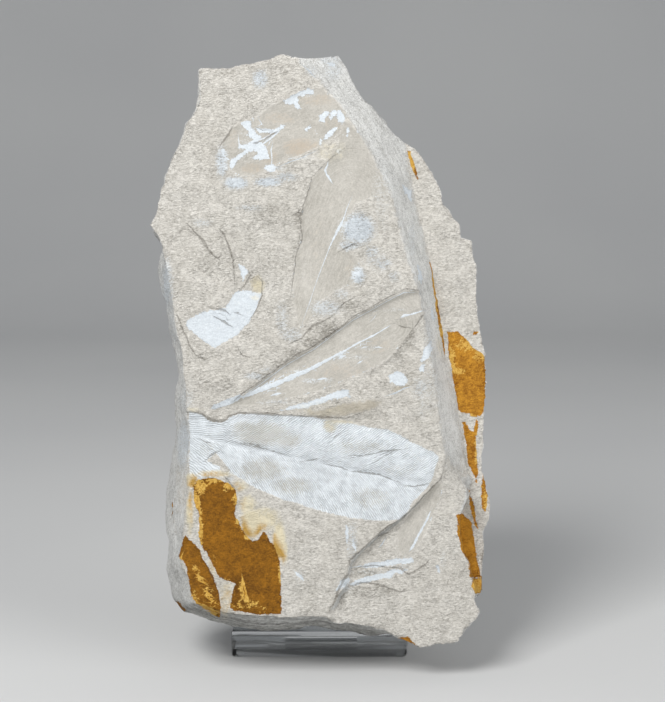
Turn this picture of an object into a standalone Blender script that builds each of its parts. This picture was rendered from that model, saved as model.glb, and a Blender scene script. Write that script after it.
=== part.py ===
"""A slab of pale siltstone with Glossopteris leaves, leaning back on a small clear stand.

The slab broke out of its bed as one piece, so it is one solid: a front face with the ledges
between the leaf-bearing layers, a broken flank and a lower shelf on the right, rough side walls
and a rough back. The stand is a clear plastic box step with a back rest and a base plate.
Lengths are in millimetres until a mesh is made, and in metres after that.
The origin is the middle of the stand's underside, on the table, with +Z up and the face to -Y.
"""

import math

import bmesh
import bpy
import numpy as np
from mathutils import Matrix, Vector, noise
from mathutils.geometry import delaunay_2d_cdt

MM = 0.001

# The photograph, from which the broken outlines are traced. One pixel on the plane of the
# leaves is MM_PER_PIXEL, which makes the stand 79 mm wide and the slab about 255 mm tall.
MM_PER_PIXEL = 0.434
PHOTO_CENTRE = (332.5, 351.0)
LENS_DISTANCE = 700.0
LENS_BELOW_NORMAL = math.radians(5.5)

# The slab, and how it stands.
SLAB_LEAN = math.radians(14.0)
SLAB_CENTRE = (5.9, -38.6, 139.4)
SLAB_THICKNESS = 43.5
TOP_TAPER = 7.0
HEEL = 5.5
SHELF_DEPTH = 15.0
SHELF_DEPTH_LOW = 18.0
STONE_COLOUR = (0.55, 0.5, 0.43)
STONE_ROUGHNESS = 0.9

# Where a form of the slab fades in: the place on the face at which it starts, and the run over
# which it grows, which is negative where it grows downwards or to the left.
TOP_TAPER_UP = (40.0, 95.0)
HEEL_LEFT = (12.0, -40.0)
HEEL_DOWN = (-62.0, -45.0)
SHELF_SLOPE_DOWN = (40.0, -130.0)
LEFT_WALL = (-30.0, -18.0)
UNDERSIDE = (-104.0, -7.0)

# The broken flank and the lower right, which lies a step below the plane of the leaves.
FLANK_CURVE = 1.15
BREAK_HEIGHT = -2.0
LOWER_RIGHT_DROP = 3.6
LOWER_RIGHT_SLOPE = 1.5
LOWER_RIGHT_RUN = 50.0
CORNER_ABOVE = 6.0
CORNER_BLEND = 16.0
FLANK_FADE = 8.0
SHELF_LEVEL = 10.0

# Spacing of the points, and the least gaps between them.
SURFACE_SPACING = 4.3
BACK_SPACING = 8.0
EDGE_SPACING = 3.8
ROW_SPACING = 0.9
BACK_ROW_SPACING = 0.8
FIELD_MARGIN = 0.55
JITTER = 0.22
JITTER_SIZE = 3.1
JITTER_SEEDS = (4.4, 7.7)
LEAST_GAP = 1.0
EDGE_GAP = 1.2
WELD = 1e-6

# The walls: rings of points by the part of the depth that they lie at, the beds that stick out of
# them, how soon they start, and the rounding towards the back.
RING_STEPS = (0.05, 0.17, 0.32, 0.48, 0.64, 0.82, 1.0)
SPREAD_DONE = 0.75
TORN_START = 0.167
TUCK = 1.6
TUCK_START = 0.333
TUCK_SPREAD = 4.0
BED_APART = 31.0
BACK_ROUNDING = 1.8
ROUNDING_START = 0.8
MIDDLE_REACH = 62.0

# Roughness of the stone: the size of its bumps, their height, and where in the noise they start.
FRONT_ROUGHNESS = [(46.0, 0.9, 3.1), (13.0, 0.35, 8.3), (5.0, 0.2, 1.7)]
BACK_ROUGHNESS = [(34.0, 0.9, 5.5), (12.0, 0.6, 9.9)]
TORN_BEDS = [(19.0, 2.4, 2.2), (6.5, 1.3, 6.1)]
RAGGED_OUTLINE = [(4.0, 0.35, 12.5), (9.0, 0.3, 15.5)]

# The stand.
STAND_WIDTH = 79.0
STAND_DEPTH = 70.0
SHEET = 3.0
LEDGE_TOP = 11.8
LEDGE_DEPTH = 13.4
REST_LEAN = math.radians(10.0)
REST_TOP = 108.0
CORNER_RADIUS = 2.4
REST_CORNER_RADIUS = 9.0
WINDOW_WIDTH = 32.3
WINDOW_BOTTOM = 2.6
WINDOW_OFFSET = 0.8
WINDOW_BEHIND = 0.5
CUT_THROUGH = 5.0
PANEL_TOP_RADIUS = 0.8
BASE_BACK_RADIUS = 8.0
REST_FOOT_RADIUS = 0.2
CORNER_STEPS = 6
SHARP_CORNER = 0.5
PLATE_WELD = 1e-7
INSET = 0.4
CLEAR_COLOUR = (0.93, 0.95, 0.97)
CLEAR_ROUGHNESS = 0.04
CLEAR_IOR = 1.49

# The slab is kept this far off the stand, wherever it is beside, before or over it.
GAP = 0.3
LEDGE_BESIDE = 3.0
REST_BESIDE = 5.0
REST_ABOVE = 8.0

# The edge of the front surface, clockwise from the top left: pixel column, pixel row and height
# above the plane of the leaves in millimetres.
FRONT_EDGE = [
    (199, 69, 0), (217, 69, 0), (230, 68, 0), (241, 65, 0), (254, 63, 0), (268, 59, 0),
    (281, 54, 0), (291, 58, 0), (308, 59, 0), (322, 57, 0), (339, 54, -1), (345, 66, -2),
    (352, 80, -4), (361, 96, -6), (372, 110, -8), (392, 132, -11), (406, 143, -14),
    (416, 150, -14), (426, 163, -14), (434, 176, -14), (441, 191, -14), (443, 204, -14),
    (450, 209, -14), (453, 217, -14), (460, 223, -14), (460, 237, -14), (471, 240, -14),
    (473, 252, -14), (477, 270, -14), (476, 298, -14), (480, 330, -15), (484, 350, -16),
    (485, 393, -16), (484, 418, -17), (482, 450, -18), (482, 470, -18), (487, 488, -18),
    (491, 503, -18), (489, 520, -18), (483, 531, -18), (484, 554, -18), (481, 575, -18),
    (483, 590, -17), (474, 595, -14), (474, 601, -9), (479, 612, -8), (475, 620, -7),
    (462, 636, -7), (458, 642, -6), (442, 643, -6), (421, 648, -5), (408, 641, -4),
    (397, 636, -4), (383, 628, -4), (367, 626, -4), (349, 622, -4), (338, 623, -4),
    (326, 616, -2), (300, 616, 0), (280, 617, 0), (250, 616, 0), (231, 613, 0),
    (218, 611, 0), (206, 606, 0), (193, 603, 0), (190, 590, 0), (188, 577, 0), (179, 559, 0),
    (181, 547, 0), (184, 536, 0), (186, 510, 0), (188, 485, 0), (190, 460, 0), (189, 425, 0),
    (187, 403, 0), (185, 385, 0), (183, 366, 0), (180, 345, 0), (176, 325, 0), (172, 300, 0),
    (168, 275, 0), (164, 255, 0), (160, 238, 0), (150, 225, 0), (156, 212, 0), (161, 190, 0),
    (168, 170, 0), (173, 155, 0), (180, 142, 0), (185, 126, 0), (194, 114, 0), (198, 98, 0),
    (198, 86, 0),
]

# How far the wall spreads outwards towards the back, in millimetres, by the height on the face.
LEFT_SPREAD = [
    (-118, 11.0), (-110, 11.0), (-100, 12.0), (-88, 8.5), (-75, 11.5), (-50, 12.5), (-38, 8.5),
    (-21, 7.5), (-12, 4.4), (-4, 4.6), (9, 4.2), (25, 5.0), (40, 5.0), (49, 1.5), (62, 0.5),
    (75, 2.0), (130, 1.0),
]
# The same on the underside, by the place across the face.
BOTTOM_SPREAD = [
    (-72, 11.5), (-60, 11.5), (-50, 8.5), (-38, 7.8), (-22, 8.0), (-10, 6.2), (5, 5.0),
    (14, 5.0), (24, 3.0), (32, 0.0), (42, -6.0), (55, -9.0), (72, -9.0),
]

# Where the upper bed breaks off on the right, from the lower edge up, its low side on the right.
BED_BREAK = [
    (320, 625), (333, 606), (345, 585), (349, 562), (355, 556), (371, 540), (388, 526),
    (397, 522), (415, 505), (427, 492), (440, 480), (443, 458), (440, 435), (436, 404),
    (431, 368), (424, 330), (420, 308), (416, 278), (408, 260), (401, 238), (393, 210),
    (388, 183), (371, 163), (361, 140), (348, 116), (333, 98), (318, 75), (312, 50),
]
# Where the flank meets the shelf below it, from the bottom up, its low side on the right.
SHELF_LINE = [
    (496, 593), (484, 594), (476, 594), (472, 583), (467, 568), (460, 545), (456, 526),
    (457, 513), (464, 499), (467, 480), (463, 440), (458, 412), (451, 378), (445, 353),
    (436, 298), (430, 265), (422, 231), (412, 187), (406, 150), (402, 130),
]
CORNER_ROW = 480

# Ledges between thin layers. Each runs with its low side on its right hand, as seen from the
# front, and has a lift on the high side, a drop on the low side, and how far each side reaches.
LEDGES = [
    # The raised band above the second leaf.
    ([(232, 403), (257, 384), (287, 362), (313, 348), (331, 332), (360, 314), (396, 297),
      (419, 290)], 1.7, 0.6, 24.0, 22.0),
    # The layer of the second leaf, over the large white leaf.
    ([(186, 413), (203, 414), (211, 419), (223, 422), (233, 415), (264, 416), (306, 416),
      (340, 417), (372, 412), (387, 401)], 0.5, 1.3, 22.0, 70.0),
    # The broken end of the second leaf.
    ([(366, 374), (390, 357), (412, 331), (423, 310), (419, 290)], 0.3, 1.4, 16.0, 20.0),
    # The left edge of the large beige leaf, which lies a little lower.
    ([(300, 327), (293, 300), (293, 283), (296, 260), (301, 240), (302, 216), (306, 198),
      (312, 178), (325, 163), (345, 148)], 0.3, 0.5, 14.0, 40.0),
    # The edge of the tan leaf at the top.
    ([(256, 178), (233, 173), (221, 157), (221, 146), (233, 126), (261, 114), (281, 101),
      (306, 89), (322, 87)], 0.2, 0.5, 10.0, 26.0),
    # Flakes at the left edge.
    ([(166, 248), (185, 223), (200, 238), (216, 259)], 0.3, 0.9, 10.0, 14.0),
    ([(216, 226), (228, 243), (233, 260), (234, 290)], 0.4, 0.8, 10.0, 16.0),
    # Layers at the lower right, under the step.
    ([(345, 568), (380, 565), (414, 560), (426, 545)], 0.5, 0.8, 12.0, 12.0),
    ([(345, 583), (375, 579), (407, 571)], 0.3, 0.8, 8.0, 30.0),
    # The thin ridge between the stains at the lower left.
    ([(186, 536), (200, 549), (208, 564), (216, 581), (221, 614)], 0.1, 0.6, 8.0, 12.0),
    # The shelf steps down again along its outer edge.
    ([(470, 330), (462, 275), (448, 240), (441, 198)], 0.0, 1.4, 6.0, 20.0),
]
LEDGE_WIDTH = 0.9
LEDGE_END_FADE = 9.0
# Across a step, from the row of points on its edge to the row at its foot.
STEP_RUN = 1.15

# Steps on the back, across and up in millimetres: each line, and how much thinner the slab is
# on its left hand, or on its right hand where the number is negative.
BACK_STEPS = [
    ([(-85, 70), (-52, 62), (-20, 50), (2, 26), (14, -6), (28, -30), (22, -70), (44, -104),
      (50, -140)], -3.6),
    ([(-85, 98), (-40, 90), (-8, 84), (20, 62), (38, 40), (85, 24)], -2.6),
    ([(-85, -38), (-56, -34), (-38, -52), (-30, -84), (-44, -130)], 2.4),
]
BACK_STEP_FADE = 0.45
BACK_STEP_REACH = 60.0


def on_face(column, row, height=0.0):
    """The place on the face, across and up, of a pixel seen at this height above the leaf plane."""
    focal = LENS_DISTANCE / MM_PER_PIXEL
    right = (column - PHOTO_CENTRE[0]) / focal
    up = (PHOTO_CENTRE[1] - row) / focal
    sine, cosine = math.sin(LENS_BELOW_NORMAL), math.cos(LENS_BELOW_NORMAL)
    v = (up * (LENS_DISTANCE - height * cosine) - height * sine) / (cosine - up * sine)
    u = right * (LENS_DISTANCE + v * sine - height * cosine)
    return u, v


def face_to_world(points):
    """Points of the leaning slab, across, up and out of the face, in the stand's frame."""
    u, v, w = points[:, 0], points[:, 1], points[:, 2]
    sine, cosine = math.sin(SLAB_LEAN), math.cos(SLAB_LEAN)
    back = v * sine - w * cosine
    up = v * cosine + w * sine
    return np.stack([u, back, up], axis=1) + SLAB_CENTRE


def smooth_step(t):
    t = np.clip(t, 0.0, 1.0)
    return t * t * (3.0 - 2.0 * t)


def fading(values, zone):
    """From 0 at the start of a zone to 1 at the end of its run."""
    start, run = zone
    return smooth_step((values - start) / run)


def rough(points, size, seed):
    """Smooth noise between about -1 and 1, whose bumps are size across."""
    return np.array([noise.noise(Vector((p[0] / size, p[1] / size, seed))) for p in points])


def roughness_of(points, kinds):
    """The sum of several kinds of bumps, each with its size, its height and its seed."""
    return sum(height * rough(points, size, seed) for size, height, seed in kinds)


def beside(points, line):
    """Each point's distance from a line, plus on its right hand, and its overrun past the ends."""
    line = np.asarray(line, float)
    starts, spans = line[:-1], np.diff(line, axis=0)
    lengths = np.linalg.norm(spans, axis=1)
    ways = spans / lengths[:, None]
    to_point = points[:, None, :] - starts[None]
    along = np.einsum("psk,sk->ps", to_point, ways)
    across = to_point[:, :, 0] * ways[None, :, 1] - to_point[:, :, 1] * ways[None, :, 0]
    nearest = starts[None] + np.clip(along, 0, lengths)[:, :, None] * ways[None]
    distance = np.linalg.norm(points[:, None, :] - nearest, axis=2)
    best = np.argmin(distance - WELD * np.abs(across), axis=1)
    rows = np.arange(len(points))
    overrun = np.maximum(-along[:, 0], 0) * (best == 0)
    overrun += np.maximum(along[:, -1] - lengths[-1], 0) * (best == len(ways) - 1)
    return np.sign(across[rows, best]) * distance[rows, best], overrun


def resampled(line, spacing, closed=False):
    """The line's own corners, with points between them no further apart than spacing."""
    line = [np.asarray(p, float) for p in line]
    ends = line[1:] + line[:1] if closed else line[1:]
    points = []
    for start, end in zip(line, ends):
        count = max(1, math.ceil(np.linalg.norm(end[:2] - start[:2]) / spacing))
        points += [start + (end - start) * k / count for k in range(count)]
    return np.array(points if closed else points + [line[-1]])


def inside(points, outline):
    """Which points lie inside a closed outline."""
    x, y = points[:, 0][:, None], points[:, 1][:, None]
    x0, y0 = outline[:, 0], outline[:, 1]
    x1, y1 = np.roll(x0, -1), np.roll(y0, -1)
    crosses = (y0 > y) != (y1 > y)
    rise = np.where(y1 == y0, WELD, y1 - y0)
    return (crosses & (x < x0 + (y - y0) * (x1 - x0) / rise)).sum(axis=1) % 2 == 1


def shelf_depth(v):
    """How far the shelf on the right lies below the leaf plane, which grows downwards."""
    return SHELF_DEPTH + (SHELF_DEPTH_LOW - SHELF_DEPTH) * fading(v, SHELF_SLOPE_DOWN)


def broken_side(points):
    """The flank, the lower right and the shelf: the drop from the leaf plane, zero left of them."""
    bed, _ = beside(points, [on_face(*p, BREAK_HEIGHT) for p in BED_BREAK])
    shelf, _ = beside(points, [on_face(*p, -SHELF_DEPTH) for p in SHELF_LINE])
    depth = shelf_depth(points[:, 1])
    across = bed / np.maximum(bed - shelf, 1.0)
    flank = depth * np.where(shelf > 0, 1.0, np.clip(across, 0, 1) ** FLANK_CURVE)
    step = LOWER_RIGHT_DROP * smooth_step(bed / STEP_RUN)
    step += LOWER_RIGHT_SLOPE * smooth_step(bed / LOWER_RIGHT_RUN)
    wall = (depth - step) * smooth_step(shelf / STEP_RUN)
    corner = on_face(PHOTO_CENTRE[0], CORNER_ROW)[1]
    lower = fading(points[:, 1], (corner + CORNER_ABOVE, -CORNER_BLEND))
    drop = flank * (1.0 - lower) + (step + wall) * lower
    return np.where(bed > 0, drop, 0.0)


def front_height(points):
    """Height of the front surface above the leaf plane."""
    height = -broken_side(points)
    on_main = 1.0 - smooth_step(-height / FLANK_FADE)
    for line, lift, drop, reach_high, reach_low in LEDGES:
        line = [on_face(*p) for p in line]
        side, overrun = beside(points, line)
        ends = 1.0 - smooth_step(overrun / LEDGE_END_FADE)
        high = lift * (1.0 - smooth_step(-side / reach_high)) * (side <= 0)
        low = -drop * smooth_step(side / LEDGE_WIDTH) * (1.0 - smooth_step(side / reach_low))
        foot = lift * (1.0 - smooth_step(side / LEDGE_WIDTH)) * (side > 0)
        height += (high + low + foot) * ends * np.where(height > -SHELF_LEVEL, on_main, 1.0)
    return height + roughness_of(points, FRONT_ROUGHNESS)


def back_height(points):
    """The back: another bed plane in steps, thinner at the top and thicker at the lower left."""
    back = -SLAB_THICKNESS + TOP_TAPER * fading(points[:, 1], TOP_TAPER_UP)
    back -= HEEL * fading(points[:, 0], HEEL_LEFT) * fading(points[:, 1], HEEL_DOWN)
    for line, thinner in BACK_STEPS:
        side, _ = beside(points, line)
        reach = 1.0 - BACK_STEP_FADE * smooth_step(np.abs(side) / BACK_STEP_REACH)
        back += abs(thinner) * smooth_step(-np.sign(thinner) * side / LEDGE_WIDTH) * reach
    return back + roughness_of(points, BACK_ROUGHNESS)


def spread(points):
    """How far the wall goes outwards towards the back, at each point of the front edge."""
    u, v = points[:, 0], points[:, 1]
    left = np.interp(v, *zip(*LEFT_SPREAD)) * fading(u, LEFT_WALL)
    bottom = np.interp(u, *zip(*BOTTOM_SPREAD))
    low = fading(v, UNDERSIDE)
    return left * (1.0 - low) + bottom * low * low


def grid_inside(outline, spacing, margin, keep_off=()):
    """Points on a jittered triangular grid, clear of the outline and of the given points."""
    low, high = outline.min(axis=0), outline.max(axis=0)
    rows = []
    for j, v in enumerate(np.arange(low[1], high[1], spacing * math.sqrt(3) / 2)):
        for u in np.arange(low[0] + (j % 2) * spacing / 2, high[0], spacing):
            rows.append((u, v))
    points = np.array(rows)
    shift = np.stack([rough(points, JITTER_SIZE, seed) for seed in JITTER_SEEDS], axis=1)
    points += JITTER * spacing * shift
    points = points[inside(points, outline)]
    for other in (outline, *keep_off):
        gap = np.linalg.norm(points[:, None] - other[None], axis=2).min(axis=1)
        points = points[gap > margin]
    return points


def step_rows(line, spacing):
    """Two rows of points along a step, at its top and its foot, so that it stays crisp."""
    middle = resampled(line, spacing)
    way = np.gradient(middle, axis=0)
    way /= np.linalg.norm(way, axis=1)[:, None]
    right = np.stack([way[:, 1], -way[:, 0]], axis=1)
    return np.concatenate([middle, middle + right * STEP_RUN])


def front_rows():
    """The rows of points along every step of the front surface."""
    lines = [[on_face(*p) for p in line] for line, *_ in LEDGES]
    lines.append([on_face(*p, BREAK_HEIGHT) for p in BED_BREAK[1:-1]])
    lines.append([on_face(*p, -SHELF_DEPTH) for p in SHELF_LINE[1:-1]])
    return np.concatenate([step_rows(line, SURFACE_SPACING * ROW_SPACING) for line in lines])


def thinned(points, least):
    """The points in order, without those closer than least to one kept before."""
    kept = points[:1]
    for point in points[1:]:
        if np.abs(kept - point).sum(axis=1).min() > least:
            kept = np.vstack([kept, point])
    return kept


def surface_points(outline, rows, spacing):
    """The points of a sheet inside its outline: the rows along its steps, then an even field."""
    rows = thinned(rows, LEAST_GAP)
    rows = rows[inside(rows, outline)]
    gap = np.linalg.norm(rows[:, None] - outline[None], axis=2).min(axis=1)
    rows = rows[gap > EDGE_GAP]
    field = grid_inside(outline, spacing, spacing * FIELD_MARGIN, (rows,))
    return np.concatenate([rows, field])


def sheet_faces(outline, inner):
    """Triangles that fill a closed outline through the inner points, facing +Z."""
    flat = [Vector(p) for p in np.concatenate([outline, inner])]
    loop = list(range(len(outline)))
    _, _, faces, origin, _, _ = delaunay_2d_cdt(flat, [], [loop], 1, WELD)
    names = [o[0] for o in origin]
    triangles = []
    for face in faces:
        a, b, c = (names[k] for k in face)
        turn = (flat[b] - flat[a]).cross(flat[c] - flat[a])
        triangles.append((a, b, c) if turn > 0 else (a, c, b))
    return triangles


def outward(points):
    """The way out of the slab across the face, from the line down its middle."""
    middle = np.stack([np.zeros(len(points)), np.clip(points[:, 1], -MIDDLE_REACH, MIDDLE_REACH)], axis=1)
    way = points - middle
    return way / np.linalg.norm(way, axis=1)[:, None]


def wall_rings(edge):
    """Rings of points from the front edge to the back one, with the torn ends of thin beds."""
    flat = edge[:, :2]
    way = outward(flat)
    run = np.cumsum(np.linalg.norm(np.diff(flat, axis=0, prepend=flat[-1:]), axis=1))
    tuck = TUCK * (1.0 - np.clip(spread(flat) / TUCK_SPREAD, 0.0, 1.0))
    rings = [edge]
    for k, t in enumerate(RING_STEPS):
        ease = math.sin(min(t / SPREAD_DONE, 1.0) * math.pi / 2)
        bed = np.stack([run, np.full(len(run), BED_APART * k)], axis=1)
        torn = roughness_of(bed, TORN_BEDS) * min(1.0, t / TORN_START)
        rounding = BACK_ROUNDING * max(0.0, t - ROUNDING_START) / (1.0 - ROUNDING_START)
        out = spread(flat) * ease + torn - tuck * min(1.0, t / TUCK_START) - rounding
        ring = flat + way * out[:, None]
        depth = edge[:, 2] + (back_height(ring) - edge[:, 2]) * t
        rings.append(np.column_stack([ring, depth]))
    return rings


def clear_of_stand(world):
    """Points on or over the stand's ledge and against its back rest, kept a hair off both."""
    x, y, z = world[:, 0], world[:, 1], world[:, 2]
    over_ledge = (np.abs(x) < STAND_WIDTH / 2 + LEDGE_BESIDE) & (y > -STAND_DEPTH / 2 - LEDGE_BESIDE)
    z = np.where(over_ledge & (z < LEDGE_TOP + GAP), LEDGE_TOP + GAP, z)
    rest_y = rest_front(z) - GAP / math.cos(REST_LEAN)
    at_rest = (np.abs(x) < STAND_WIDTH / 2 + REST_BESIDE) & (z < REST_TOP + REST_ABOVE)
    y = np.where(at_rest & (y > rest_y), rest_y, y)
    return np.column_stack([x, y, z])


def rest_front(z):
    """Where the back rest's front surface is, at a height above the table."""
    return -STAND_DEPTH / 2 + LEDGE_DEPTH + (z - LEDGE_TOP) * math.tan(REST_LEAN)


def principled(name, colour, roughness, **more):
    material = bpy.data.materials.new(name)
    material.use_nodes = True
    shader = material.node_tree.nodes["Principled BSDF"]
    shader.inputs["Base Color"].default_value = (*colour, 1.0)
    shader.inputs["Roughness"].default_value = roughness
    for socket, value in more.items():
        shader.inputs[socket.replace("_", " ")].default_value = value
    return material


def add_object(name, mesh, material):
    node = bpy.data.objects.new(name, mesh)
    mesh.materials.append(material)
    bpy.context.collection.objects.link(node)
    return node


def rock_slab():
    """The slab: the front sheet, the ring walls and the back sheet, closed into one solid."""
    edge = np.array([(*on_face(column, row, w), w) for column, row, w in FRONT_EDGE])
    edge = resampled(edge, EDGE_SPACING, closed=True)
    ragged = roughness_of(edge[:, :2], RAGGED_OUTLINE)
    edge[:, :2] += outward(edge[:, :2]) * ragged[:, None]
    edge[:, 2] = front_height(edge[:, :2])
    rings = wall_rings(edge)

    front = surface_points(edge[:, :2], front_rows(), SURFACE_SPACING)
    back_edge = rings[-1][:, :2]
    back_rows = [step_rows(line, BACK_SPACING * BACK_ROW_SPACING) for line, _ in BACK_STEPS]
    back = surface_points(back_edge, np.concatenate(back_rows), BACK_SPACING)

    around = len(edge)
    front_sheet = np.column_stack([front, front_height(front)])
    back_sheet = np.column_stack([back, back_height(back)])
    points = np.concatenate([*rings, front_sheet, back_sheet])
    world = clear_of_stand(face_to_world(points)) * MM
    mesh = bpy.data.meshes.new("rock_slab")
    shape = bmesh.new()
    verts = [shape.verts.new(p) for p in world]
    for k in range(len(rings) - 1):
        for i in range(around):
            j = (i + 1) % around
            a, b = k * around, (k + 1) * around
            shape.faces.new((verts[a + i], verts[a + j], verts[b + j], verts[b + i]))
    first = len(rings) * around
    for triangle in sheet_faces(edge[:, :2], front):
        shape.faces.new([verts[n if n < around else first + n - around] for n in triangle])
    last, back_first = (len(rings) - 1) * around, first + len(front)
    for a, b, c in sheet_faces(back_edge, back):
        corners = [verts[last + n if n < around else back_first + n - around] for n in (a, c, b)]
        shape.faces.new(corners)
    bmesh.ops.recalc_face_normals(shape, faces=shape.faces)
    bmesh.ops.triangulate(shape, faces=shape.faces)
    shape.to_mesh(mesh)
    shape.free()
    return add_object("rock_slab", mesh, principled("siltstone", STONE_COLOUR, STONE_ROUGHNESS))


def rounded_plate(name, width, height, radii, thickness):
    """A plate in the XZ plane, from z = 0 up, its corners rounded: bottom and top radius."""
    bottom, top = radii
    corners = [
        (width / 2 - bottom, bottom, bottom, -90), (width / 2 - top, height - top, top, 0),
        (-width / 2 + top, height - top, top, 90), (-width / 2 + bottom, bottom, bottom, 180),
    ]
    outline = []
    for x, z, radius, start in corners:
        steps = CORNER_STEPS if radius > SHARP_CORNER else 1
        for k in range(steps + 1):
            angle = math.radians(start + 90 * k / steps)
            outline.append((x + radius * math.cos(angle), z + radius * math.sin(angle)))
    shape = bmesh.new()
    face = shape.faces.new([shape.verts.new((x * MM, 0.0, z * MM)) for x, z in outline])
    made = bmesh.ops.extrude_face_region(shape, geom=[face])
    moved = [item for item in made["geom"] if isinstance(item, bmesh.types.BMVert)]
    bmesh.ops.translate(shape, verts=moved, vec=(0.0, thickness * MM, 0.0))
    bmesh.ops.remove_doubles(shape, verts=shape.verts, dist=PLATE_WELD)
    bmesh.ops.recalc_face_normals(shape, faces=shape.faces)
    mesh = bpy.data.meshes.new(name)
    shape.to_mesh(mesh)
    shape.free()
    return mesh


def helper(name, mesh):
    """A shape that only adds to or cuts another one."""
    node = bpy.data.objects.new(name, mesh)
    bpy.context.collection.objects.link(node)
    node.hide_render = True
    node.display_type = "WIRE"
    return node


def boolean(target, other, operation):
    change = target.modifiers.new(operation.title(), "BOOLEAN")
    change.operation = operation
    change.solver = "EXACT"
    change.object = other


def box_mesh(name, low, high):
    low, high = Vector(low) * MM, Vector(high) * MM
    shape = bmesh.new()
    bmesh.ops.create_cube(shape, size=1.0)
    bmesh.ops.scale(shape, verts=shape.verts, vec=high - low)
    bmesh.ops.translate(shape, verts=shape.verts, vec=(low + high) / 2)
    mesh = bpy.data.meshes.new(name)
    shape.to_mesh(mesh)
    shape.free()
    return mesh


def display_stand():
    """The clear stand: a base plate, a front panel with a window, a ledge and a back rest."""
    half, front = STAND_WIDTH / 2, -STAND_DEPTH / 2
    clear = principled(
        "clear_acrylic", CLEAR_COLOUR, CLEAR_ROUGHNESS, Transmission_Weight=1.0, IOR=CLEAR_IOR
    )
    panel_radii = (CORNER_RADIUS, PANEL_TOP_RADIUS)
    panel = rounded_plate("front_panel", STAND_WIDTH, LEDGE_TOP, panel_radii, SHEET)
    panel.transform(Matrix.Translation((0.0, front * MM, 0.0)))
    stand = add_object("display_stand", panel, clear)

    base_radii = (CORNER_RADIUS, BASE_BACK_RADIUS)
    base_size = (STAND_WIDTH - 2 * INSET, STAND_DEPTH - INSET)
    base = helper("base_plate", rounded_plate("base_plate", *base_size, base_radii, SHEET))
    base.data.transform(Matrix.Rotation(-math.pi / 2, 4, "X"))
    base.data.transform(Matrix.Translation((0.0, (front + INSET) * MM, SHEET * MM)))

    ledge_low = (-half + INSET, front + INSET, LEDGE_TOP - SHEET)
    ledge_high = (half - INSET, rest_front(LEDGE_TOP) + SHEET / 2, LEDGE_TOP)
    ledge = helper("ledge", box_mesh("ledge", ledge_low, ledge_high))

    rest_size = (STAND_WIDTH - 4 * INSET, (REST_TOP - SHEET / 2) / math.cos(REST_LEAN))
    rest_radii = (REST_FOOT_RADIUS, REST_CORNER_RADIUS)
    rest = helper("back_rest", rounded_plate("back_rest", *rest_size, rest_radii, SHEET))
    rest.data.transform(Matrix.Rotation(-REST_LEAN, 4, "X"))
    rest.data.transform(Matrix.Translation((0.0, rest_front(SHEET / 2) * MM, SHEET / 2 * MM)))

    window_low = (WINDOW_OFFSET - WINDOW_WIDTH / 2, front - CUT_THROUGH, WINDOW_BOTTOM)
    window_high = (WINDOW_OFFSET + WINDOW_WIDTH / 2, front + SHEET + WINDOW_BEHIND, LEDGE_TOP - SHEET)
    window = helper("window", box_mesh("window", window_low, window_high))
    for piece in (base, ledge, rest):
        boolean(stand, piece, "UNION")
    boolean(stand, window, "DIFFERENCE")
    return stand


for leftover in list(bpy.data.objects):
    bpy.data.objects.remove(leftover)
rock_slab()
display_stand()
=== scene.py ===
# %% [markdown]
# # A Glossopteris leaf fossil on a clear stand
#
# Glossopteris was a seed fern with long, tongue-shaped leaves. They fell into still water, were
# buried in fine mud, and the mud became siltstone. When a block of it is split along its bedding,
# the leaves come to light: some as smooth beige prints, some still under a film of white clay, and
# some stained brown by iron. This lesson starts from the plain solids of the slab and its stand,
# gives the slab its fine relief and its colours, and lights it as for a catalogue picture.

# %% Load the solids
import math

import bmesh
import bpy
import numpy as np
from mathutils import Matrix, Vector, noise


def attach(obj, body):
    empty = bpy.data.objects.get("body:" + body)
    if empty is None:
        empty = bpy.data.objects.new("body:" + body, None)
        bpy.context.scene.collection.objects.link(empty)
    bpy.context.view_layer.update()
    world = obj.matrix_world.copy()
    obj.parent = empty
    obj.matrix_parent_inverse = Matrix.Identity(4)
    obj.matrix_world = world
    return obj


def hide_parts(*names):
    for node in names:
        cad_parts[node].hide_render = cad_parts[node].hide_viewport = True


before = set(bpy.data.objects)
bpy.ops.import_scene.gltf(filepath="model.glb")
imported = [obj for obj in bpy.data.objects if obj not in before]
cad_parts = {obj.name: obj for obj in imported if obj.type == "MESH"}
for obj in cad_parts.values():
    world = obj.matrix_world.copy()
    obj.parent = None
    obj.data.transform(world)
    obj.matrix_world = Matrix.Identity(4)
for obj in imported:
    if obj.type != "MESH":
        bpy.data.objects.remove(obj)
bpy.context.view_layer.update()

MM = 0.001
bpy.ops.object.select_all(action="DESELECT")

# %% [markdown]
# ## Where the camera stands
#
# Every leaf, crack and stain below is a place in the photograph, in pixels, so the camera comes
# first. It looks slightly down at the slab, which leans back on its stand, and its lens makes one
# pixel 0.434 mm at the slab. The same numbers turn a point of the slab into its place in the
# picture, and so a traced outline finds its way onto the rock.

# %% Camera
PHOTO_SIZE = (665, 702)
# Millimetres that one pixel covers at the slab.
PIXEL = 0.434
LENS_DISTANCE = 700.0
LOOKING_DOWN = math.radians(8.5)
SLAB_MIDDLE = np.array((5.9, -38.6, 139.4))
SENSOR = 36.0

sight = np.array((0.0, math.cos(LOOKING_DOWN), -math.sin(LOOKING_DOWN)))
picture_up = np.array((0.0, math.sin(LOOKING_DOWN), math.cos(LOOKING_DOWN)))
eye = SLAB_MIDDLE - LENS_DISTANCE * sight
focal_pixels = LENS_DISTANCE / PIXEL

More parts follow.
